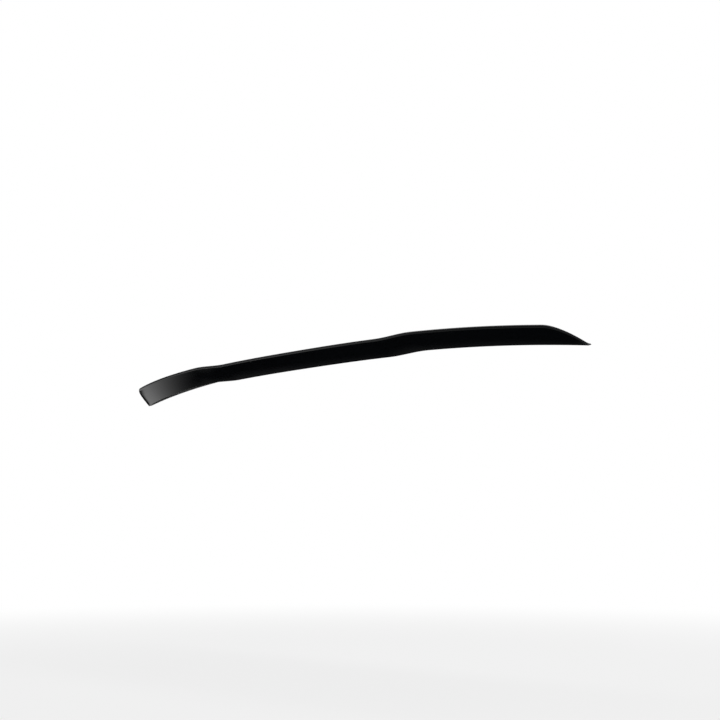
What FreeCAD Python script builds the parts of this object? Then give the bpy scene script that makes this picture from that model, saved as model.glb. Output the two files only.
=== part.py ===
import FreeCAD, Part
import os
import math
import Sketcher

# Spoiler extension: a one piece gloss lip that is bonded down along its seat.
# Frame: +X to the right as seen from behind, +Y forward, +Z up, millimetres.
# The origin is the middle of the foot line, where the rear skin meets the seat.

os.makedirs("parts", exist_ok=True)
doc = FreeCAD.newDocument("SpoilerExtension")

# Driving dimensions, in millimetres, degrees or plain ratios
SIZES = [
    ("half_span", 600.0),      # middle to end, along X
    ("bow", 63.0),             # how far the foot line sweeps forward at the ends
    ("bow_power", 3.66),       # how late along the span that sweep begins
    ("crown", 25.0),           # how far the foot line drops at the ends
    ("crown_power", 2.36),     # shape of that drop
    ("step_at", 257.3),        # where the middle section turns into the outer wing
    ("step_width", 94.0),      # length of the turn along the span
    ("step_back", 5.9),        # the wings stand this far behind the middle section
    ("step_up", 4.4),          # and this far above it
    ("lip_reach", 49.2),       # overhang of the lip behind the foot
    ("lip_rise", 28.5),        # height of the lip above the foot
    ("fade_length", 50.0),     # the lip runs out into the end over this length
    ("fade_power", 1.85),      # roundness of the lip's outer corner
    ("lip_radius", 2.8),       # round of the lip's edge
    ("end_radius", 1.5),       # the same round at the very end
    ("cover", 72.0),           # foot to front edge, along the seat
    ("cover_end", 10.0),       # the same at the very end
    ("cover_run", 350.0),      # the front edge closes in over this length
    ("host_slope", 16.0),      # the seat climbs forward at this angle, degrees
    ("front_edge", 2.4),       # thickness of the feathered front edge
    ("top_radius", 460.0),     # hollow sweep of the top skin
    ("rear_radius", 420.0),    # hollow sweep of the rear skin, from the foot up to the lip's edge
    ("wall", 3.0),             # moulded wall
    ("bond_flange", 36.0),     # width of the front bonding flange
    ("foot_flange", 14.0),     # width of the flange turned in along the foot
    ("hollow_round", 1.0),     # round inside the hollow, behind the lip's edge
]

sheet = doc.addObject("Spreadsheet::Sheet", "Sizes")
for row, (alias, value) in enumerate(SIZES, start=1):
    sheet.set("A%d" % row, alias)
    sheet.set("B%d" % row, str(value))
    sheet.setAlias("B%d" % row, alias)
doc.recompute()


def read(expression):
    """Value of an expression over the sheet, as a plain number."""
    found = sheet.evalExpression(expression)
    return float(getattr(found, "Value", found))


# The plain part of the wing lies between the turn and the run out of the lip
WING_FROM = "(Sizes.step_at + Sizes.step_width * 0.75)"
WING_TO = "(Sizes.half_span - Sizes.fade_length * 1.3)"
# The hollow stops here, inside the run out of the lip
HOLLOW_END = "(Sizes.half_span - Sizes.fade_length * 0.9)"
# Stations along the half span, written over the sheet's own names
STATIONS = [
    "(0)",
    "(Sizes.step_at * 0.4)",
    "(Sizes.step_at - Sizes.step_width * 0.75)",
    "(Sizes.step_at - Sizes.step_width * 0.35)",
    "(Sizes.step_at)",
    "(Sizes.step_at + Sizes.step_width * 0.35)",
    WING_FROM,
    "(%s * 0.75 + %s * 0.25)" % (WING_FROM, WING_TO),
    "(%s * 0.50 + %s * 0.50)" % (WING_FROM, WING_TO),
    "(%s * 0.25 + %s * 0.75)" % (WING_FROM, WING_TO),
    WING_TO,
    HOLLOW_END,
    "(Sizes.half_span - Sizes.fade_length * 0.6)",
    "(Sizes.half_span - Sizes.fade_length * 0.35)",
    "(Sizes.half_span - Sizes.fade_length * 0.15)",
    "(Sizes.half_span)",
]


def blend_of(at):
    """Share of the turn from middle section to wing that is done at a station, 0 to 1."""
    share = "min(1; max(0; (%s - Sizes.step_at) / Sizes.step_width + 0.5))" % at
    return "(pow(%s; 2) * (3 - 2 * %s))" % (share, share)


def fade_of(at):
    """Share of the lip's reach and rise that is left at a station, 1 in the middle and 0 at the end."""
    share = "min(1; max(0; (Sizes.half_span - %s) / Sizes.fade_length))" % at
    return "(1 - pow(1 - %s; Sizes.fade_power))" % share


def cover_of(at):
    """Foot to front edge at a station."""
    share = "max(0; (%s - Sizes.half_span + Sizes.cover_run) / Sizes.cover_run)" % at
    return "(Sizes.cover_end + (Sizes.cover - Sizes.cover_end) * (1 - pow(%s; 2)))" % share


def foot_of(at):
    """Foot line at a station: forward sweep and height."""
    part_way = "(%s / Sizes.half_span)" % at
    blend = blend_of(at)
    forward = "Sizes.bow * pow(%s; Sizes.bow_power) - Sizes.step_back * %s" % (part_way, blend)
    upward = "Sizes.step_up * %s - Sizes.crown * pow(%s; Sizes.crown_power)" % (blend, part_way)
    return forward, upward


SLOPE = "(Sizes.host_slope * 1 deg)"


def tip_of(at):
    """Round of the lip's edge at a station: radius, centre behind the foot's upright, centre height."""
    fade = fade_of(at)
    radius = "(Sizes.end_radius + (Sizes.lip_radius - Sizes.end_radius) * %s)" % fade
    plate_y = "%s * (cos(%s) - sin(%s))" % (radius, SLOPE, SLOPE)
    plate_z = "%s * (cos(%s) + sin(%s))" % (radius, SLOPE, SLOPE)
    centre_y = "(%s * (1 - %s) + (%s - Sizes.lip_reach) * %s)" % (plate_y, fade, radius, fade)
    centre_z = "(%s * (1 - %s) + (Sizes.lip_rise - %s) * %s)" % (plate_z, fade, radius, fade)
    return radius, centre_y, centre_z


# A sketch across the span: its X runs forward, its Y up, and it faces the right end
ACROSS = FreeCAD.Rotation(0.5, 0.5, 0.5, 0.5)
FLAT = FreeCAD.Vector(0, 0, 1)


def arc(centre, radius, start, end):
    """Arc run anticlockwise from one point to another."""
    circle = Part.Circle(FreeCAD.Vector(centre[0], centre[1], 0), FLAT, radius)
    first = math.atan2(start[1] - centre[1], start[0] - centre[0])
    last = math.atan2(end[1] - centre[1], end[0] - centre[0])
    if last <= first:
        last += 2 * math.pi
    return Part.ArcOfCircle(circle, first, last)


def line(start, end):
    """Straight edge between two points."""
    return Part.LineSegment(FreeCAD.Vector(start[0], start[1], 0), FreeCAD.Vector(end[0], end[1], 0))


class StationSketch:
    """A section across the span at a station, with its origin on the foot line."""

    def __init__(self, name, at, side):
        self.at = at
        self.rules = []
        self.bound = []
        self.sketch = doc.addObject("Sketcher::SketchObject", name)
        forward, upward = foot_of(at)
        across = "%d * (%s)" % (side, at)
        base = FreeCAD.Vector(read(across), read(forward), read(upward))
        self.sketch.Placement = FreeCAD.Placement(base, ACROSS)
        self.sketch.setExpression("Placement.Base.x", across)
        self.sketch.setExpression("Placement.Base.y", forward)
        self.sketch.setExpression("Placement.Base.z", upward)

    def draw(self, edge, guide=False):
        """Add one edge, or a guide that only carries constraints."""
        self.sketch.addGeometry(edge, guide)

    def rule(self, kind, *where):
        """Keep one constraint that has no size."""
        self.rules.append(Sketcher.Constraint(kind, *where))

    def size(self, name, kind, where, expression):
        """Keep one sized constraint, bound to the sheet."""
        value = read(expression)
        if kind == "Angle":
            value = math.radians(value)
        constraint = Sketcher.Constraint(kind, *where, value)
        constraint.Name = name
        self.rules.append(constraint)
        self.bound.append((name, expression))

    def close(self):
        """Put the constraints on the sketch and bind their sizes."""
        self.sketch.addConstraint(self.rules)
        for name, expression in self.bound:
            self.sketch.setExpression("Constraints." + name, expression)
        return self.sketch


def sweep_centre(tip, radius, through, sweep, side):
    """Centre of an arc through a point that touches the round of the lip's edge from outside."""
    chord = math.dist(tip, through)
    share = (chord ** 2 + (sweep + radius) ** 2 - sweep ** 2) / (2 * chord)
    lift = side * math.sqrt((sweep + radius) ** 2 - share ** 2)
    ahead = ((through[0] - tip[0]) / chord, (through[1] - tip[1]) / chord)
    return (tip[0] + share * ahead[0] - lift * ahead[1], tip[1] + share * ahead[1] + lift * ahead[0])


def towards(start, end, length):
    """Point at a length from one point towards another."""
    share = length / math.dist(start, end)
    return (start[0] + (end[0] - start[0]) * share, start[1] + (end[1] - start[1]) * share)


def outer_points(at):
    """Corner and centre points of the outer section at a station, foot at the origin."""
    slope = math.radians(read("Sizes.host_slope"))
    cover = read(cover_of(at))
    nose = read("Sizes.front_edge")
    radius, centre_y, centre_z = [read(item) for item in tip_of(at)]
    along = (math.cos(slope), math.sin(slope))
    front = (cover * along[0], cover * along[1])
    nose_mid = ((cover - nose) * along[0], (cover - nose) * along[1])
    nose_top = (nose_mid[0] - nose * along[1], nose_mid[1] + nose * along[0])
    tip = (centre_y, centre_z)
    # The top sweep turns about a centre above the section, the rear sweep about one behind and below it
    hub = sweep_centre(tip, radius, nose_top, read("Sizes.top_radius"), 1)
    rear_hub = sweep_centre(tip, radius, (0.0, 0.0), read("Sizes.rear_radius"), -1)
    over = towards(tip, hub, radius)
    under = towards(tip, rear_hub, radius)
    return front, nose_mid, nose_top, hub, over, tip, under, rear_hub


def outline(station):
    """Outer section: seat, front edge, hollow top skin, lip edge, hollow rear skin."""
    at = station.at
    foot = (0.0, 0.0)
    front, nose_mid, nose_top, hub, over, tip, under, rear_hub = outer_points(at)
    radius, centre_y, centre_z = tip_of(at)
    station.draw(line(foot, front))
    station.draw(arc(nose_mid, read("Sizes.front_edge"), front, nose_top), True)
    station.draw(arc(hub, read("Sizes.top_radius"), over, nose_top))
    station.draw(arc(tip, read(radius), over, under), True)
    station.draw(arc(rear_hub, read("Sizes.rear_radius"), foot, under))
    station.rule("Coincident", 0, 1, -1, 1)
    station.rule("Coincident", 0, 2, 1, 1)
    station.rule("Coincident", 1, 2, 2, 2)
    station.rule("Coincident", 4, 1, 0, 1)
    station.rule("PointOnObject", 1, 3, 0)
    station.rule("Tangent", 2, 1, 3, 1)
    station.rule("Tangent", 3, 2, 4, 2)
    station.size("slope", "Angle", (0,), "Sizes.host_slope * 1 deg")
    station.size("cover", "Distance", (0, 1, 0, 2), cover_of(at))
    station.size("nose", "Radius", (1,), "Sizes.front_edge")
    station.size("nose_turn", "Angle", (1,), "90 deg")
    station.size("sweep", "Radius", (2,), "Sizes.top_radius")
    station.size("rear_sweep", "Radius", (4,), "Sizes.rear_radius")
    station.size("edge_round", "Radius", (3,), radius)
    station.size("tip_run", "DistanceX", (3, 3, 0, 2), "%s * cos(%s) - %s" % (cover_of(at), SLOPE, centre_y))
    station.size("tip_up", "DistanceY", (-1, 1, 3, 3), centre_z)


def flats(station, guide, count):
    """Cut a round into equal flats that stand on its guide arc."""
    bow = station.sketch.Geometry[guide]
    turn = (bow.LastParameter - bow.FirstParameter) / count
    marks = [bow.value(bow.FirstParameter + turn * step) for step in range(count + 1)]
    first = station.sketch.GeometryCount
    for step in range(count):
        station.draw(Part.LineSegment(marks[step], marks[step + 1]))
    station.rule("Coincident", first, 1, guide, 1)
    station.rule("Coincident", first + count - 1, 2, guide, 2)
    for index in range(first, first + count - 1):
        station.rule("Coincident", index, 2, index + 1, 1)
        station.rule("PointOnObject", index, 2, guide)
        station.rule("Equal", index, index + 1)


def outer_section(name, at, side):
    """Sketch of the outer section at a station."""
    station = StationSketch(name, at, side)
    outline(station)
    flats(station, guide=1, count=2)
    flats(station, guide=3, count=5)
    return station.close()


def both_sides(end):
    """Stations from the left side's end station to the right side's: tag, expression and side."""
    last = STATIONS.index(end)
    for index in range(last, 0, -1):
        yield "L%d" % index, STATIONS[index], -1
    for index in range(0, last + 1):
        yield "R%d" % index, STATIONS[index], 1


def loft(name, sections):
    """Smooth solid through a row of section sketches."""
    made = doc.addObject("Part::Loft", name)
    made.Sections = sections
    made.Solid = True
    made.Ruled = False
    made.Closed = False
    made.MaxDegree = 5
    return made


def scaled(flange, at):
    """Width of a flange at a station, in step with the cover."""
    return "(%s * %s / Sizes.cover)" % (flange, cover_of(at))


def hollow_points(at):
    """Corner and centre points of the hollow at a station, foot at the origin."""
    front, nose_mid, nose_top, hub, over, tip, under, rear_hub = outer_points(at)
    slope = math.radians(read("Sizes.host_slope"))
    along = (math.cos(slope), math.sin(slope))
    upright = (-along[1], along[0])
    wall = read("Sizes.wall")
    inside = read("Sizes.hollow_round")
    sweep = read("Sizes.top_radius") + wall
    rear_sweep = read("Sizes.rear_radius") + wall
    foot_run = read(scaled("Sizes.foot_flange", at))
    bond_run = read(cover_of(at)) - read(scaled("Sizes.bond_flange", at))
    # Centre of the inner round, one wall and one round in from both skins
    apart = math.dist(rear_hub, hub)
    share = (apart ** 2 + (rear_sweep + inside) ** 2 - (sweep + inside) ** 2) / (2 * apart)
    lift = math.sqrt((rear_sweep + inside) ** 2 - share ** 2)
    ahead = ((hub[0] - rear_hub[0]) / apart, (hub[1] - rear_hub[1]) / apart)
    between = towards(rear_hub, hub, share)
    crotch = (between[0] + lift * ahead[1], between[1] - lift * ahead[0])
    top_rear = towards(crotch, hub, inside)
    skin_top = towards(crotch, rear_hub, inside)

    def seat(forward, up):
        """Point measured along the seat and square to it."""
        return (forward * along[0] + up * upright[0], forward * along[1] + up * upright[1])

    def from_seat(point):
        """How far forward and up a point lies, measured along the seat and square to it."""
        return point[0] * along[0] + point[1] * along[1], point[0] * upright[0] + point[1] * upright[1]

    # The rear skin's inner face comes down to the flange turned in along the foot
    rear_forward, rear_up = from_seat(rear_hub)
    bend = seat(rear_forward + math.sqrt(rear_sweep ** 2 - (wall - rear_up) ** 2), wall)
    # Front wall of the hollow, square to the seat, up to the inner face of the top skin
    hub_forward, hub_up = from_seat(hub)
    front_top = seat(bond_run, hub_up - math.sqrt(sweep ** 2 - (bond_run - hub_forward) ** 2))
    lip_in = seat(foot_run, wall)
    lip_low = seat(foot_run, -wall)
    front_low = seat(bond_run, -wall)
    corners = top_rear, skin_top, bend, lip_in, lip_low, front_low, front_top
    return (hub, rear_hub, crotch), corners


def hollow_section(name, at, side):
    """Sketch of the hollow at a station, inside the two skins and open downward between two flanges."""
    station = StationSketch(name, at, side)
    outline(station)
    for index in range(station.sketch.GeometryCount):
        station.sketch.setConstruction(index, True)
    centres, corners = hollow_points(at)
    hub, rear_hub, crotch = centres
    top_rear, skin_top, bend, lip_in, lip_low, front_low, front_top = corners
    station.draw(arc(hub, read("Sizes.top_radius + Sizes.wall"), top_rear, front_top))
    station.draw(arc(crotch, read("Sizes.hollow_round"), top_rear, skin_top), True)
    station.draw(arc(rear_hub, read("Sizes.rear_radius + Sizes.wall"), bend, skin_top))
    station.draw(line(bend, lip_in))
    station.draw(line(lip_in, lip_low))
    station.draw(line(lip_low, front_low))
    station.draw(line(front_low, front_top))
    station.draw(line(top_rear, skin_top))
    station.rule("Coincident", 5, 3, 2, 3)
    station.rule("Tangent", 5, 1, 6, 1)
    station.rule("Tangent", 6, 2, 7, 2)
    station.rule("Coincident", 7, 1, 8, 1)
    station.rule("Coincident", 8, 2, 9, 1)
    station.rule("Coincident", 9, 2, 10, 1)
    station.rule("Coincident", 10, 2, 11, 1)
    station.rule("Coincident", 11, 2, 5, 2)
    station.rule("Coincident", 12, 1, 6, 1)
    station.rule("Coincident", 12, 2, 6, 2)
    station.rule("Coincident", 7, 3, 4, 3)
    station.rule("Parallel", 8, 0)
    station.rule("Perpendicular", 9, 0)
    station.rule("Parallel", 10, 0)
    station.rule("Perpendicular", 11, 0)
    station.size("inner_sweep", "Radius", (5,), "Sizes.top_radius + Sizes.wall")
    station.size("inner_round", "Radius", (6,), "Sizes.hollow_round")
    station.size("inner_rear_sweep", "Radius", (7,), "Sizes.rear_radius + Sizes.wall")
    station.size("foot_wall", "Distance", (8, 2, 0), "Sizes.wall")
    station.size("cut_through", "Distance", (10, 1, 0), "Sizes.wall")
    foot_run = scaled("Sizes.foot_flange", at)
    bond_run = scaled("Sizes.bond_flange", at)
    foot_width = "sqrt(pow(%s; 2) + pow(Sizes.wall; 2))" % foot_run
    station.size("foot_width", "Distance", (9, 2, -1, 1), foot_width)
    station.size("opening", "Distance", (10, 1, 10, 2), "%s - %s - %s" % (cover_of(at), bond_run, foot_run))
    return station.close()


outer = [outer_section("Outer" + tag, at, side) for tag, at, side in both_sides(STATIONS[-1])]
inner = [hollow_section("Hollow" + tag, at, side) for tag, at, side in both_sides(HOLLOW_END)]
form = loft("Form", outer)
hollow = loft("Hollow", inner)
extension = doc.addObject("Part::Cut", "Extension")
extension.Base = form
extension.Tool = hollow
extension.Label = "spoiler_extension"
extension.Placement = FreeCAD.Placement()
doc.recompute()

for item in doc.Objects:
    if "Invalid" in item.State or "Error" in item.State:
        raise RuntimeError("%s is not valid: %s" % (item.Name, item.State))
if extension.Shape.isNull() or not extension.Shape.isValid():
    raise RuntimeError("the extension's shape is not valid")

box = extension.Shape.BoundBox
print("box", box, "volume", extension.Shape.Volume / 1000.0, "cm3", "faces", len(extension.Shape.Faces))
extension.Shape.exportStep("parts/spoiler_extension.step")
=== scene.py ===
"""Spoiler extension: a one piece gloss black lip, dressed and lit for its picture."""

import logging
import math
from dataclasses import dataclass, field
from enum import Enum

import bmesh
import bpy
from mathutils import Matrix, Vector


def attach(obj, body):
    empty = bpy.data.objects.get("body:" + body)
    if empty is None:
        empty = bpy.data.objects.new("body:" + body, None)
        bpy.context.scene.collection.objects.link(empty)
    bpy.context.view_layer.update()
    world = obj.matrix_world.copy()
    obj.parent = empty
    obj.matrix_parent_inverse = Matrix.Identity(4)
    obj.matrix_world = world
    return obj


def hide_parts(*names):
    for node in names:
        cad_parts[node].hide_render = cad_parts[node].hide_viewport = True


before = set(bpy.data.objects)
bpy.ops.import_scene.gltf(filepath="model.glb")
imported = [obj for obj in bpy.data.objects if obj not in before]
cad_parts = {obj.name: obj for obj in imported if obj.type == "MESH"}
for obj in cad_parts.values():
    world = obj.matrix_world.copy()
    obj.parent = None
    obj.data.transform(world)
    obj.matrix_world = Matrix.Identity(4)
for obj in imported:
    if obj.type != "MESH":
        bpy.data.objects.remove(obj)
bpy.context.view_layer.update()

LOG = logging.getLogger("spoiler_extension")

Point = tuple[float, float]
Spot = tuple[float, float, float]
Colour = tuple[float, float, float]

WHITE: Colour = (1.0, 1.0, 1.0)
FEWEST_STEPS = 4


class Side(Enum):
    """The two halves of the span."""

    LEFT = -1
    RIGHT = 1


class Face(Enum):
    """Which finish a face of the shell takes."""

    SHOW = 0
    INSIDE = 1


class Join(Enum):
    """How a node joins two values."""

    TIMES = "MULTIPLY"
    LARGER = "MAXIMUM"


def clamp(value: float) -> float:
    """Value held between 0 and 1."""
    return min(1.0, max(0.0, value))


def swing(
    centre: Point, start: Point, end: Point, count: int, backwards: bool = False
) -> list[Point]:
    """Points along an arc about a centre.

    Args:
        centre: Centre of the arc.
        start: First point, which gives the radius.
        end: Last point.
        count: Number of steps between them.
        backwards: Whether the arc runs clockwise.

    Returns:
        The points, both ends included.
    """
    radius = math.dist(centre, start)
    first = math.atan2(start[1] - centre[1], start[0] - centre[0])
    last = math.atan2(end[1] - centre[1], end[0] - centre[0])
    if backwards and last >= first:
        last -= math.tau
    if not backwards and last <= first:
        last += math.tau
    turns = [first + (last - first) / count * step for step in range(count + 1)]
    return [
        (centre[0] + radius * math.cos(turn), centre[1] + radius * math.sin(turn))
        for turn in turns
    ]


def towards(start: Point, end: Point, length: float) -> Point:
    """Point at a length from one point towards another."""
    share = length / math.dist(start, end)
    return (start[0] + (end[0] - start[0]) * share, start[1] + (end[1] - start[1]) * share)


def sweep_centre(tip: Point, radius: float, through: Point, sweep: float, turn: int) -> Point:
    """Centre of an arc through a point that touches the round of the lip's edge from outside.

    Args:
        tip: Centre of the round.
        radius: Radius of the round.
        through: Point on the arc.
        sweep: Radius of the arc.
        turn: 1 for a centre to the left of the way to the point, -1 for one to the right.

    Returns:
        The centre.
    """
    chord = math.dist(tip, through)
    share = (chord**2 + (sweep + radius) ** 2 - sweep**2) / (2.0 * chord)
    lift = turn * math.sqrt((sweep + radius) ** 2 - share**2)
    ahead = ((through[0] - tip[0]) / chord, (through[1] - tip[1]) / chord)
    return (
        tip[0] + share * ahead[0] - lift * ahead[1],
        tip[1] + share * ahead[1] + lift * ahead[0],
    )


@dataclass(frozen=True)
class Section:
    """Key points of one section across the span, with the foot at the origin.

    Forward is the first number and up the second.
    """

    front: Point
    nose_mid: Point
    nose_top: Point
    hub: Point
    rear_hub: Point
    over: Point
    tip: Point
    under: Point


@dataclass(frozen=True)
class Fineness:
    """Number of steps in which each curve of a section is drawn."""

    toe: int = 4
    rear: int = 18
    edge: int = 14
    top: int = 28
    nose: int = 6
    inner_top: int = 16
    inner_end: int = 5
    inner_rear: int = 10


@dataclass(frozen=True)
class LipForm:
    """Driving sizes of the lip, in metres and degrees, and the curves that they give."""

    half_span: float = 0.600
    bow: float = 0.063
    bow_power: float = 3.66
    crown: float = 0.025
    crown_power: float = 2.36
    step_at: float = 0.2573
    step_width: float = 0.094
    step_back: float = 0.0059
    step_up: float = 0.0044
    lip_reach: float = 0.0491
    lip_rise: float = 0.0283
    fade_length: float = 0.050
    fade_power: float = 1.85
    lip_radius: float = 0.0028
    end_radius: float = 0.0015
    cover: float = 0.0718
    cover_end: float = 0.010
    cover_run: float = 0.350
    seat_slope: float = 16.0
    front_edge: float = 0.0024
    top_radius: float = 0.460
    rear_radius: float = 0.420
    wall: float = 0.003
    bond_flange: float = 0.036
    foot_flange: float = 0.014
    hollow_round: float = 0.001
    hollow_stop: float = 0.9
    foot_radius: float = 0.0003
    foot_radius_share: float = 0.2
    fineness: Fineness = Fineness()

    @property
    def hollow_end(self) -> float:
        """Distance from the middle at which the hollow stops."""
        return self.half_span - self.fade_length * self.hollow_stop

    @property
    def along(self) -> Point:
        """Direction of the seat, forward and up."""
        slope = math.radians(self.seat_slope)
        return (math.cos(slope), math.sin(slope))

    def blend(self, x: float) -> float:
        """Share of the turn from middle section to wing that is done at x."""
        share = clamp((abs(x) - self.step_at) / self.step_width + 0.5)
        return share * share * (3.0 - 2.0 * share)

    def fade(self, x: float) -> float:
        """Share of the lip's reach and rise that is left at x."""
        share = clamp((self.half_span - abs(x)) / self.fade_length)
        return 1.0 - (1.0 - share) ** self.fade_power

    def cover_at(self, x: float) -> float:
        """Foot to front edge at x."""
        share = max(0.0, (abs(x) - self.half_span + self.cover_run) / self.cover_run)
        return self.cover_end + (self.cover - self.cover_end) * (1.0 - share * share)

    def foot(self, x: float) -> Point:
        """Foot line at x.

        Args:
            x: Place along the span.

        Returns:
            How far forward and up it lies.
        """
        part = abs(x) / self.half_span
        blend = self.blend(x)
        forward = self.bow * part**self.bow_power - self.step_back * blend
        upward = self.step_up * blend - self.crown * part**self.crown_power
        return (forward, upward)

    def seat(self, forward: float, up: float) -> Point:
        """Point on or above the seat, measured along it and square to it."""
        run, climb = self.along
        return (forward * run - up * climb, forward * climb + up * run)

    def from_seat(self, spot: Point) -> Point:
        """How far forward and up a point lies, measured along the seat and square to it."""
        run, climb = self.along
        return (spot[0] * run + spot[1] * climb, spot[1] * run - spot[0] * climb)

    def section(self, x: float) -> Section:
        """Key points of the outer section at x.

        Args:
            x: Place along the span.

        Returns:
            The section, with its foot at the origin.
        """
        fade = self.fade(x)
        cover = self.cover_at(x)
        radius = self.end_radius + (self.lip_radius - self.end_radius) * fade
        plate = self.seat(radius, radius)
        tip = (
            plate[0] * (1.0 - fade) + (radius - self.lip_reach) * fade,
            plate[1] * (1.0 - fade) + (self.lip_rise - radius) * fade,
        )
        nose_top = self.seat(cover - self.front_edge, self.front_edge)
        hub = sweep_centre(tip, radius, nose_top, self.top_radius, 1)
        rear_hub = sweep_centre(tip, radius, (0.0, 0.0), self.rear_radius, -1)
        return Section(
            front=self.seat(cover, 0.0),
            nose_mid=self.seat(cover - self.front_edge, 0.0),
            nose_top=nose_top,
            hub=hub,
            rear_hub=rear_hub,
            over=towards(tip, hub, radius),
            tip=tip,
            under=towards(tip, rear_hub, radius),
        )

    def outer_line(self, x: float) -> list[Point]:
        """Outer skin at x, up the rear face, round the lip's edge and over the top to the front.

        Args:
            x: Place along the span.

        Returns:
            Points relative to the foot.
        """
        cut = self.section(x)
        fine = self.fineness
        toe = self.toe(cut)
        rear = swing(cut.rear_hub, toe[-1], cut.under, fine.rear)
        edge = swing(cut.tip, cut.under, cut.over, fine.edge, backwards=True)
        top = swing(cut.hub, cut.over, cut.nose_top, fine.top)
        nose = swing(cut.nose_mid, cut.nose_top, cut.front, fine.nose, backwards=True)
        return toe + rear[1:] + edge[1:] + top[1:] + nose[1:]

    def toe(self, cut: Section) -> list[Point]:
        """Small round between the seat and the rear face.

        Args:
            cut: Section that it belongs to.

        Returns:
            Points from the seat round to the rear face.
        """
        low = math.radians(self.seat_slope)
        high = math.atan2(-cut.rear_hub[0], cut.rear_hub[1]) % math.pi
        radius = min(self.foot_radius, self.foot_radius_share * math.hypot(*cut.under))
        half = (high - low) / 2.0
        setback = radius / math.tan(half)
        depth = radius / math.sin(half)
        centre = (depth * math.cos(low + half), depth * math.sin(low + half))
        on_seat = (setback * math.cos(low), setback * math.sin(low))
        on_rear = (setback * math.cos(high), setback * math.sin(high))
        return swing(centre, on_seat, on_rear, self.fineness.toe, backwards=True)

    def opening(self, x: float) -> Point:
        """Edges of the opening in the seat at x.

        Args:
            x: Place along the span.

        Returns:
            How far forward of the foot its front and its rear edge lie, along the seat.
        """
        cover = self.cover_at(x)
        ratio = cover / self.cover
        return (cover - self.bond_flange * ratio, self.foot_flange * ratio)

    def seat_marks(self, x: float) -> list[Point]:
        """Corners of the opening in the seat at x, front first."""
        return [self.seat(edge, 0.0) for edge in self.opening(x)]

    def hollow_line(self, x: float) -> list[Point]:
        """Inside of the hollow at x, from the bonding flange round to the flange along the foot.

        Args:
            x: Place along the span.

        Returns:
            Points relative to the foot, both edges of the opening included.
        """
        cut = self.section(x)
        fine = self.fineness
        front_mark, foot_mark = self.seat_marks(x)
        bond, turned_in = self.opening(x)
        sweep = self.top_radius + self.wall
        rear_sweep = self.rear_radius + self.wall
        hub_forward, hub_up = self.from_seat(cut.hub)
        front_top = self.seat(bond, hub_up - math.sqrt(sweep**2 - (bond - hub_forward) ** 2))
        apart = math.dist(cut.rear_hub, cut.hub)
        near, far = rear_sweep + self.hollow_round, sweep + self.hollow_round
        share = (apart**2 + near**2 - far**2) / (2.0 * apart)
        lift = math.sqrt(near**2 - share**2) / apart
        between = towards(cut.rear_hub, cut.hub, share)
        crotch = (
            between[0] + lift * (cut.hub[1] - cut.rear_hub[1]),
            between[1] - lift * (cut.hub[0] - cut.rear_hub[0]),
        )
        top_rear = towards(crotch, cut.hub, self.hollow_round)
        skin_top = towards(crotch, cut.rear_hub, self.hollow_round)
        rear_forward, rear_up = self.from_seat(cut.rear_hub)
        bend_forward = rear_forward + math.sqrt(rear_sweep**2 - (self.wall - rear_up) ** 2)
        bend = self.seat(bend_forward, self.wall)
        lip_in = self.seat(turned_in, self.wall)
        inner_top = swing(cut.hub, front_top, top_rear, fine.inner_top, backwards=True)
        inner_end = swing(crotch, top_rear, skin_top, fine.inner_end)
        inner_rear = swing(cut.rear_hub, skin_top, bend, fine.inner_rear, backwards=True)
        return [front_mark] + inner_top + inner_end[1:] + inner_rear[1:] + [lip_in, foot_mark]


def stations(low: float, high: float, pitch: float) -> list[float]:
    """Evenly spaced places along part of the span.

    Args:
        low: First place.
        high: Last place.
        pitch: Widest spacing.

    Returns:
        The places, both ends included.
    """
    count = max(FEWEST_STEPS, math.ceil((high - low) / pitch))
    return [low + (high - low) * step / count for step in range(count + 1)]


def new_material(name: str) -> bpy.types.Material:
    """Material with its own nodes.

    Args:
        name: Its name.

    Returns:
        The new material.
    """
    made = bpy.data.materials.new(name)
    made.use_nodes = True
    return made


def joined(
    tree: bpy.types.NodeTree,
    how: Join,
    first: bpy.types.NodeSocket,
    second: bpy.types.NodeSocket | float,
) -> bpy.types.NodeSocket:
    """Two values joined by one node.

    Args:
        tree: Node tree to add to.
        how: How they are joined.
        first: Socket of the first value.
        second: Socket of the second value, or a number.

    Returns:
        Socket of the result.
    """
    node = tree.nodes.new("ShaderNodeMath")
    node.operation = how.value
    tree.links.new(first, node.inputs[0])
    if isinstance(second, float):
        node.inputs[1].default_value = second
    else:
        tree.links.new(second, node.inputs[1])
    return node.outputs["Value"]


def eased(
    tree: bpy.types.NodeTree,
    value: bpy.types.NodeSocket,
    marks: Point,
    ends: Point = (0.0, 1.0),
) -> bpy.types.NodeSocket:
    """Number that eases from one end to the other while a value runs between two marks.

    Args:
        tree: Node tree to add to.
        value: Socket of the value.
        marks: Where it starts and stops.
        ends: The two ends.

    Returns:
        Socket of the result.
    """
    ramp = tree.nodes.new("ShaderNodeMapRange")
    ramp.interpolation_type = "SMOOTHSTEP"
    ramp.inputs["From Min"].default_value, ramp.inputs["From Max"].default_value = marks
    ramp.inputs["To Min"].default_value, ramp.inputs["To Max"].default_value = ends
    tree.links.new(value, ramp.inputs["Value"])
    return ramp.outputs["Result"]


def noise(
    tree: bpy.types.NodeTree, place: bpy.types.Node, scale: float, detail: float
) -> bpy.types.NodeSocket:
    """Noise that stays with the object.

    Args:
        tree: Node tree to add to.
        place: Coordinates node.
        scale: Lumps per metre.
        detail: Octaves.

    Returns:
        Socket of the noise.
    """
    node = tree.nodes.new("ShaderNodeTexNoise")
    node.inputs["Scale"].default_value = scale
    node.inputs["Detail"].default_value = detail
    tree.links.new(place.outputs["Object"], node.inputs["Vector"])
    return node.outputs["Fac"]


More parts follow.
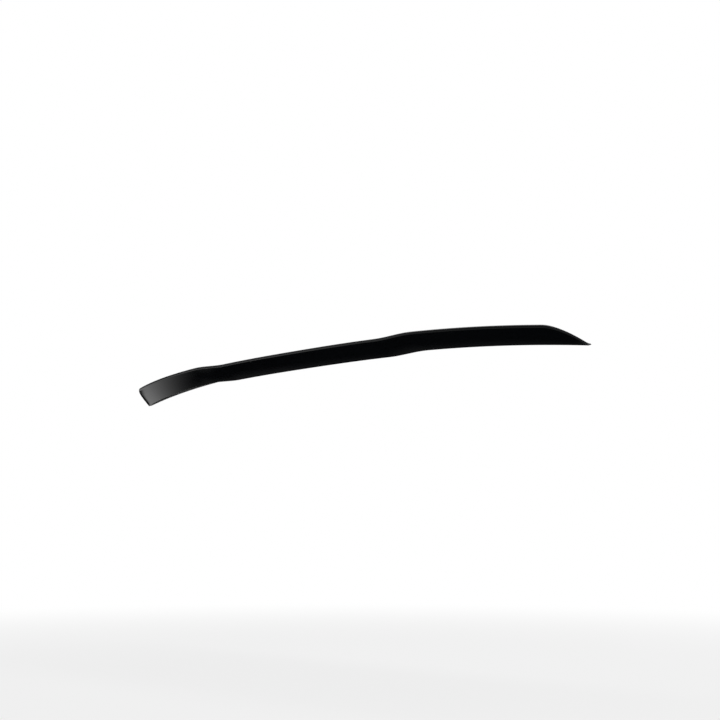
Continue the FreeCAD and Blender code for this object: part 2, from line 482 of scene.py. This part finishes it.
def blended(
    tree: bpy.types.NodeTree, share: bpy.types.NodeSocket, first: Colour, second: Colour
) -> bpy.types.NodeSocket:
    """Colour between two others.

    Args:
        tree: Node tree to add to.
        share: Socket of the second colour's share.
        first: Colour at a share of 0.
        second: Colour at a share of 1.

    Returns:
        Socket of the colour.
    """
    node = tree.nodes.new("ShaderNodeMix")
    node.data_type = "RGBA"
    node.inputs["A"].default_value = (*first, 1.0)
    node.inputs["B"].default_value = (*second, 1.0)
    tree.links.new(share, node.inputs["Factor"])
    return node.outputs["Result"]


def seen_rays(tree: bpy.types.NodeTree) -> bpy.types.NodeSocket:
    """Light path test for what is seen directly, in gloss or through glass.

    Args:
        tree: Node tree to add to.

    Returns:
        A socket that is 1 for those rays.
    """
    path = tree.nodes.new("ShaderNodeLightPath").outputs
    gloss = joined(tree, Join.LARGER, path["Is Camera Ray"], path["Is Glossy Ray"])
    return joined(tree, Join.LARGER, gloss, path["Is Transmission Ray"])


@dataclass(frozen=True)
class MouldedPlastic:
    """Black moulded plastic: a deep colour under a skin of its own gloss and ripple."""

    name: str
    deep: Colour
    pale: Colour
    rough: Point
    index: float
    specular: float
    ripple_pitch: float
    ripple_height: float
    tone_scale: float = 9.0
    tone_detail: float = 3.0
    haze_scale: float = 38.0
    haze_detail: float = 4.0
    haze_marks: Point = (0.35, 0.70)
    ripple_detail: float = 1.0

    def material(self) -> bpy.types.Material:
        """Node material of the finish.

        Returns:
            The new material.
        """
        made = new_material(self.name)
        tree = made.node_tree
        shader = tree.nodes["Principled BSDF"]
        shader.inputs["IOR"].default_value = self.index
        shader.inputs["Specular IOR Level"].default_value = self.specular
        place = tree.nodes.new("ShaderNodeTexCoord")
        tone = noise(tree, place, self.tone_scale, self.tone_detail)
        colour = blended(tree, tone, self.deep, self.pale)
        tree.links.new(colour, shader.inputs["Base Color"])
        haze = noise(tree, place, self.haze_scale, self.haze_detail)
        rough = eased(tree, haze, self.haze_marks, self.rough)
        tree.links.new(rough, shader.inputs["Roughness"])
        ripple = noise(tree, place, 1.0 / self.ripple_pitch, self.ripple_detail)
        bump = tree.nodes.new("ShaderNodeBump")
        bump.inputs["Strength"].default_value = 1.0
        bump.inputs["Distance"].default_value = self.ripple_height
        tree.links.new(ripple, bump.inputs["Height"])
        tree.links.new(bump.outputs["Normal"], shader.inputs["Normal"])
        return made


@dataclass
class Extension:
    """The moulded shell: rear face, rounded lip, hollow top skin and the two bonding flanges."""

    form: LipForm = field(default_factory=LipForm)
    pitch: float = 0.004
    end_pitch: float = 0.0011
    weld: float = 1e-6
    crease: float = 28.0

    def build(self) -> bpy.types.Object:
        """Shell mesh over the whole span, in place of the solid.

        Returns:
            The new piece, riding on the body.
        """
        shell = bmesh.new()
        stop = self.form.hollow_end
        self._skin(shell, stations(-stop, stop, self.pitch), hollow=True)
        for side in Side:
            places = stations(stop, self.form.half_span, self.end_pitch)
            ends = self._skin(shell, [side.value * place for place in places], hollow=False)
            shell.faces.new(ends[-1])
            rim = self.form.hollow_line(stop)
            wall = [self._vert(shell, side.value * stop, spot) for spot in rim]
            shell.faces.new(wall).material_index = Face.INSIDE.value
        bmesh.ops.remove_doubles(shell, verts=shell.verts, dist=self.weld)
        bmesh.ops.recalc_face_normals(shell, faces=shell.faces)
        mesh = bpy.data.meshes.new("extension_shell")
        shell.to_mesh(mesh)
        shell.free()
        mesh.shade_smooth()
        mesh.set_sharp_from_angle(angle=math.radians(self.crease))
        piece = bpy.data.objects.new("extension_shell", mesh)
        bpy.context.scene.collection.objects.link(piece)
        even = piece.modifiers.new("even_normals", "WEIGHTED_NORMAL")
        even.keep_sharp = True
        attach(piece, "root")
        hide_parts("spoiler_extension")
        return piece

    def dress(self, piece: bpy.types.Object, show: MouldedPlastic, inside: MouldedPlastic) -> None:
        """Put the two finishes on the piece, in the order of Face.

        Args:
            piece: The shell.
            show: Finish of the outside.
            inside: Finish of the hollow and of the faces that are bonded down.
        """
        piece.data.materials.append(show.material())
        piece.data.materials.append(inside.material())

    def _vert(self, shell: bmesh.types.BMesh, x: float, spot: Point) -> bmesh.types.BMVert:
        """Corner of the mesh at a place along the span and a point relative to the foot there."""
        forward, upward = self.form.foot(x)
        return shell.verts.new((x, forward + spot[0], upward + spot[1]))

    def _skin(
        self, shell: bmesh.types.BMesh, places: list[float], hollow: bool
    ) -> list[list[bmesh.types.BMVert]]:
        """Skin through closed sections at a row of places.

        Args:
            shell: Mesh to add to.
            places: Where the sections stand along the span.
            hollow: Whether the sections go round the hollow or straight across the seat.

        Returns:
            The corners of each section, in order.
        """
        rows = []
        for x in places:
            outer = self.form.outer_line(x)
            inner = self.form.hollow_line(x) if hollow else self.form.seat_marks(x)
            rows.append([self._vert(shell, x, spot) for spot in outer + inner])
        for near, far in zip(rows, rows[1:]):
            for step in range(len(near)):
                after = (step + 1) % len(near)
                made = shell.faces.new((near[step], near[after], far[after], far[step]))
                face = Face.INSIDE if step >= len(outer) - 1 else Face.SHOW
                made.material_index = face.value
        return rows


@dataclass(frozen=True)
class PaleFinish:
    """Plain pale paint of the studio, white to the eye a little way out."""

    name: str
    colour: Colour
    fleck: float
    base: float
    near: float
    far: float
    rough: float = 0.9
    grain_scale: float = 3.0
    grain_detail: float = 2.0

    def material(self) -> bpy.types.Material:
        """Paint that takes the shadow near the part, runs out to white and is clear from below.

        Returns:
            The new material.
        """
        made = new_material(self.name)
        tree = made.node_tree
        shader = tree.nodes["Principled BSDF"]
        shader.inputs["Roughness"].default_value = self.rough
        shader.inputs["Specular IOR Level"].default_value = 0.0
        place = tree.nodes.new("ShaderNodeTexCoord")
        grain = noise(tree, place, self.grain_scale, self.grain_detail)
        flecked = tuple(part * self.fleck for part in self.colour)
        tint = blended(tree, grain, self.colour, flecked)
        tree.links.new(tint, shader.inputs["Base Color"])
        white = tree.nodes.new("ShaderNodeEmission")
        white.inputs["Color"].default_value = (*WHITE, 1.0)
        white.inputs["Strength"].default_value = 1.0
        span = tree.nodes.new("ShaderNodeVectorMath")
        span.operation = "LENGTH"
        tree.links.new(place.outputs["Object"], span.inputs[0])
        away = eased(tree, span.outputs["Value"], (self.near, self.far), (self.base, 1.0))
        share = joined(tree, Join.TIMES, away, seen_rays(tree))
        paint = tree.nodes.new("ShaderNodeMixShader")
        tree.links.new(share, paint.inputs["Fac"])
        tree.links.new(shader.outputs["BSDF"], paint.inputs[1])
        tree.links.new(white.outputs["Emission"], paint.inputs[2])
        clear = tree.nodes.new("ShaderNodeBsdfTransparent")
        below = tree.nodes.new("ShaderNodeNewGeometry")
        sided = tree.nodes.new("ShaderNodeMixShader")
        tree.links.new(below.outputs["Backfacing"], sided.inputs["Fac"])
        tree.links.new(paint.outputs["Shader"], sided.inputs[1])
        tree.links.new(clear.outputs["BSDF"], sided.inputs[2])
        tree.links.new(sided.outputs["Shader"], tree.nodes["Material Output"].inputs["Surface"])
        return made


def stage_plane(name: str, half: Point, spot: Spot) -> bpy.types.Object:
    """Plane of the stage.

    Args:
        name: Its name.
        half: Half its sides.
        spot: Its middle.

    Returns:
        The new object.
    """
    wide, deep = half
    mesh = bpy.data.meshes.new(name)
    corners = [(-wide, -deep, 0), (wide, -deep, 0), (wide, deep, 0), (-wide, deep, 0)]
    mesh.from_pydata(corners, [], [(0, 1, 2, 3)])
    plane = bpy.data.objects.new(name, mesh)
    plane.location = spot
    bpy.context.scene.collection.objects.link(plane)
    return plane


@dataclass(frozen=True)
class GlossOnlyFlag:
    """Dark sheet seen only in gloss and hidden from the camera, from diffuse light and from
    shadows. It paints a dark reflection on the gloss and thins out to nothing at its edges.

    Each softness is the width over which it thins out, at its low and its high edge. A tilt of
    90 degrees stands it upright, and the turn is about the vertical.
    """

    name: str
    centre: Spot
    half: Point
    soft_x: Point
    soft_y: Point
    depth: float = 1.0
    tilt: float = 0.0
    turn: float = 0.0
    # Colour of the painted dark reflection.
    painted_dark_reflection: Colour = (0.004, 0.004, 0.004)

    def build(self) -> bpy.types.Object:
        """Set the flag on the stage.

        Returns:
            The new object.
        """
        flag = stage_plane(self.name, self.half, self.centre)
        flag.rotation_euler = (math.radians(self.tilt), 0.0, math.radians(self.turn))
        flag.data.materials.append(self.material())
        # Seen only in gloss: the flag is a painted dark reflection and shades nothing.
        flag.visible_camera = False
        flag.visible_diffuse = False
        flag.visible_shadow = False
        flag.visible_transmission = False
        return flag

    def material(self) -> bpy.types.Material:
        """Near-black painted reflection, clear towards its edges.

        Returns:
            The new material.
        """
        made = new_material(self.name)
        tree = made.node_tree
        shader = tree.nodes["Principled BSDF"]
        # Near-black colour of the painted dark reflection.
        shader.inputs["Base Color"].default_value = (*self.painted_dark_reflection, 1.0)
        shader.inputs["Roughness"].default_value = 1.0
        shader.inputs["Specular IOR Level"].default_value = 0.0
        place = tree.nodes.new("ShaderNodeTexCoord")
        split = tree.nodes.new("ShaderNodeSeparateXYZ")
        tree.links.new(place.outputs["Object"], split.inputs["Vector"])
        edges = []
        for axis, half, soft in zip("XY", self.half, (self.soft_x, self.soft_y)):
            edges.append(eased(tree, split.outputs[axis], (-half, soft[0] - half)))
            edges.append(eased(tree, split.outputs[axis], (half, half - soft[1])))
        share = edges[0]
        for edge in edges[1:]:
            share = joined(tree, Join.TIMES, share, edge)
        tree.links.new(joined(tree, Join.TIMES, share, self.depth), shader.inputs["Alpha"])
        return made


@dataclass(frozen=True)
class SoftLamp:
    """Soft rectangular lamp, hidden from the camera."""

    name: str
    spot: Spot
    aim: Spot
    size: Point
    power: float

    def hang(self) -> None:
        """Hang the lamp over the stage."""
        data = bpy.data.lights.new(self.name, "AREA")
        data.shape = "RECTANGLE"
        data.size, data.size_y = self.size
        data.energy = self.power
        lamp = bpy.data.objects.new(self.name, data)
        lamp.location = self.spot
        lamp.rotation_euler = Vector(self.aim).to_track_quat("-Z", "Y").to_euler()
        lamp.visible_camera = False
        bpy.context.scene.collection.objects.link(lamp)


@dataclass
class Studio:
    """Pale floor, one large soft lamp, a white room, and dark flags seen only in gloss, which
    paint dark reflections that keep the gloss black.
    """

    floor_drop: float = 0.60
    floor_half: float = 60.0
    flag_lift: float = 0.002
    ambient: float = 0.40

    def build(self, paint: PaleFinish, lamp: SoftLamp) -> None:
        """Set the floor, the flags, the room and the lamp.

        Args:
            paint: Finish of the floor.
            lamp: The one lamp.
        """
        half = (self.floor_half, self.floor_half)
        floor = stage_plane("floor", half, (0.0, 0.0, -self.floor_drop))
        floor.data.materials.append(paint.material())
        # These flags paint dark reflections on the gloss black; they cast no shadow and are not
        # seen directly.
        for flag in self._floor_flags() + self._high_flags():
            flag.build()
        self._room()
        lamp.hang()

    def _on_floor(self, x: float, y: float, layer: int) -> Spot:
        """Place just above the floor, one lift higher for each layer."""
        return (x, y, self.flag_lift * layer - self.floor_drop)

    def _floor_flags(self) -> list[GlossOnlyFlag]:
        """Flags on the floor, seen only in gloss, which paint dark reflections into the rear face
        and the under side of the lip's edge.

        Returns:
            The flags: below and ahead, ahead to the left, behind, and behind to the left.
        """
        return [
            GlossOnlyFlag(
                name="floor_flag",
                centre=self._on_floor(-0.37, 1.21, 1),
                half=(1.33, 1.30),
                soft_x=(0.63, 0.20),
                soft_y=(0.34, 0.40),
            ),
            GlossOnlyFlag(
                name="left_floor_flag",
                centre=self._on_floor(-2.60, 1.419, 3),
                half=(1.05, 1.01),
                soft_x=(0.30, 0.06),
                soft_y=(0.03, 0.30),
            ),
            GlossOnlyFlag(
                name="rear_floor_flag",
                centre=self._on_floor(1.60, -1.25, 2),
                half=(2.60, 1.50),
                soft_x=(0.90, 0.60),
                soft_y=(0.60, 0.50),
                depth=0.85,
            ),
            GlossOnlyFlag(
                name="side_floor_flag",
                centre=self._on_floor(-2.6, -1.9, 4),
                half=(1.9, 1.9),
                soft_x=(0.5, 0.5),
                soft_y=(0.5, 0.5),
                depth=0.55,
            ),
        ]

    def _high_flags(self) -> list[GlossOnlyFlag]:
        """Flags off the floor, seen only in gloss, which paint dark reflections into the lip's
        edge and the top.

        Returns:
            The flags: overhead, behind, ahead, behind to the left, and off both ends.
        """
        return [
            GlossOnlyFlag(
                name="overhead_flag",
                centre=(0.0, 0.0, 2.3),
                half=(7.0, 7.0),
                soft_x=(4.5, 4.5),
                soft_y=(4.5, 4.5),
                depth=0.60,
            ),
            GlossOnlyFlag(
                name="back_flag",
                centre=(1.5, -2.2, 0.5),
                half=(3.2, 1.2),
                soft_x=(1.0, 1.0),
                soft_y=(0.3, 0.8),
                depth=0.9,
                tilt=90.0,
            ),
            GlossOnlyFlag(
                name="front_flag",
                centre=(-3.0, 3.5, 1.7),
                half=(6.0, 2.3),
                soft_x=(1.5, 1.5),
                soft_y=(0.3, 1.0),
                depth=0.85,
                tilt=90.0,
            ),
            GlossOnlyFlag(
                name="side_flag",
                centre=(-3.6, -2.6, 0.9),
                half=(3.5, 1.5),
                soft_x=(0.8, 0.8),
                soft_y=(0.2, 0.9),
                depth=0.75,
                tilt=90.0,
                turn=-54.0,
            ),
        ] + [
            GlossOnlyFlag(
                name=f"{side.name.lower()}_end_flag",
                centre=(side.value * 5.0, 0.3, 1.4),
                half=(3.5, 2.0),
                soft_x=(1.2, 1.2),
                soft_y=(0.3, 1.5),
                depth=0.75,
                tilt=90.0,
                turn=90.0,
            )
            for side in Side
        ]

    def _room(self) -> None:
        """White room, at a plain level of light."""
        world = bpy.data.worlds.new("room")
        world.use_nodes = True
        bpy.context.scene.world = world
        tree = world.node_tree
        back = tree.nodes["Background"]
        back.inputs["Strength"].default_value = 1.0
        grey = (self.ambient, self.ambient, self.ambient)
        tree.links.new(blended(tree, seen_rays(tree), grey, WHITE), back.inputs["Color"])


@dataclass(frozen=True)
class PhotoCamera:
    """Camera at the photograph's angle, behind, to the right and a little below."""

    spot: Spot = (1.46444, -1.49941, -0.34881)
    turn: float = 41.536
    lift: float = 9.904
    lens: float = 52.5
    sensor: float = 36.0
    sight: float = 200.0

    def place(self) -> None:
        """Make the camera and set it as the scene's own."""
        data = bpy.data.cameras.new("photo_camera")
        data.sensor_width = self.sensor
        data.lens = self.lens
        data.clip_end = self.sight
        camera = bpy.data.objects.new("photo_camera", data)
        camera.location = self.spot
        camera.rotation_euler = (math.radians(90.0 + self.lift), 0.0, math.radians(self.turn))
        bpy.context.scene.collection.objects.link(camera)
        bpy.context.scene.camera = camera


GLOSS_BLACK = MouldedPlastic(
    name="gloss_black",
    deep=(0.0018, 0.0023, 0.0030),
    pale=(0.0032, 0.0038, 0.0046),
    rough=(0.04, 0.075),
    index=1.5,
    specular=0.5,
    ripple_pitch=0.005,
    ripple_height=0.000004,
)
SATIN_BLACK = MouldedPlastic(
    name="satin_black",
    deep=(0.013, 0.013, 0.014),
    pale=(0.020, 0.020, 0.021),
    rough=(0.42, 0.58),
    index=1.5,
    specular=0.35,
    ripple_pitch=0.0012,
    ripple_height=0.00005,
)
FLOOR_PAINT = PaleFinish(
    name="pale_floor",
    colour=(0.86, 0.86, 0.86),
    fleck=0.985,
    base=0.7,
    near=0.6,
    far=2.6,
)
TOP_SOFTBOX = SoftLamp(
    name="top_softbox",
    spot=(0.1, 0.2, 1.9),
    aim=(0.0, 0.0, -1.0),
    size=(2.6, 1.6),
    power=24.0,
)


def main() -> None:
    """Build the extension, then the studio round it."""
    logging.basicConfig(level=logging.INFO, format="%(name)s: %(message)s")
    bpy.context.scene.view_settings.view_transform = "Standard"
    extension = Extension()
    piece = extension.build()
    extension.dress(piece, GLOSS_BLACK, SATIN_BLACK)
    LOG.info("shell built: %d faces", len(piece.data.polygons))
    Studio().build(FLOOR_PAINT, TOP_SOFTBOX)
    LOG.info("studio built")
    PhotoCamera().place()
    LOG.info("camera placed")


if __name__ == "__main__":
    main()
